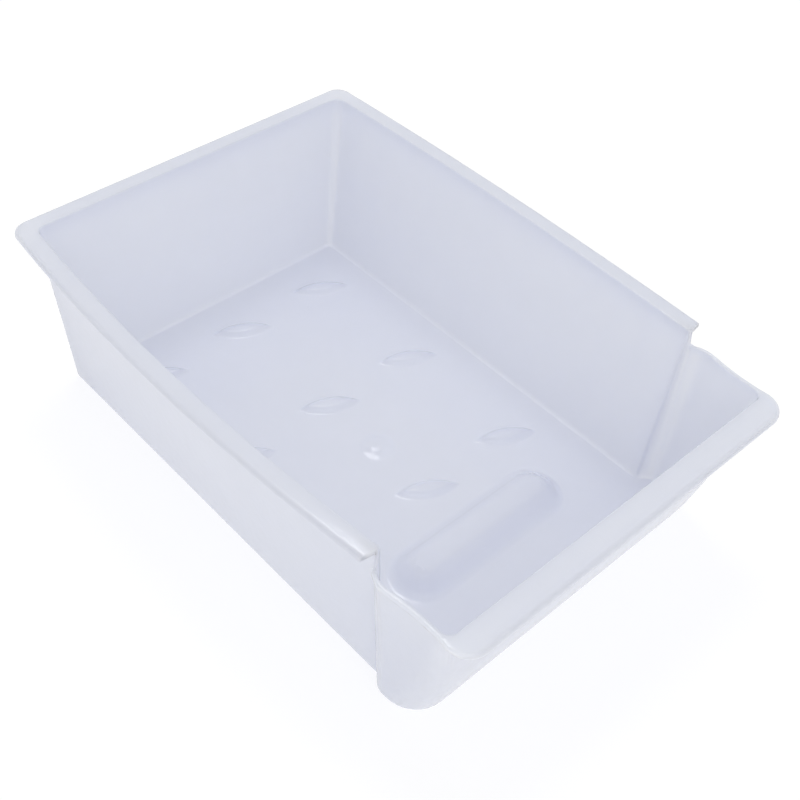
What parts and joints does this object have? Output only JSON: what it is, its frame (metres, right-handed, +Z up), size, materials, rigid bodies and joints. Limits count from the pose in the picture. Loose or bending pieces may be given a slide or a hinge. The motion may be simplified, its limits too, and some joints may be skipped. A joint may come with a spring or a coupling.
{
  "type": "refrigerator meat drawer",
  "caption": "Open drawer for a refrigerator, moulded in one piece of milky plastic, with a flanged rim, a lower front with a pull lip, oval floor ribs and a raised grip.",
  "frame": {"origin": "middle of the footprint on the ground: halfway between the side walls and halfway from the front lip to the back flange", "axes": "+Z up, +Y towards the back of the drawer, -Y towards the pull lip, +X to the right seen from the front"},
  "size_m": [0.313, 0.435, 0.1365],
  "materials": {
    "moulded_plastic": "satin, milky translucent"
  },
  "bodies": {
    "root": {"drawer": "moulded_plastic"}
  },
  "joints": []
}
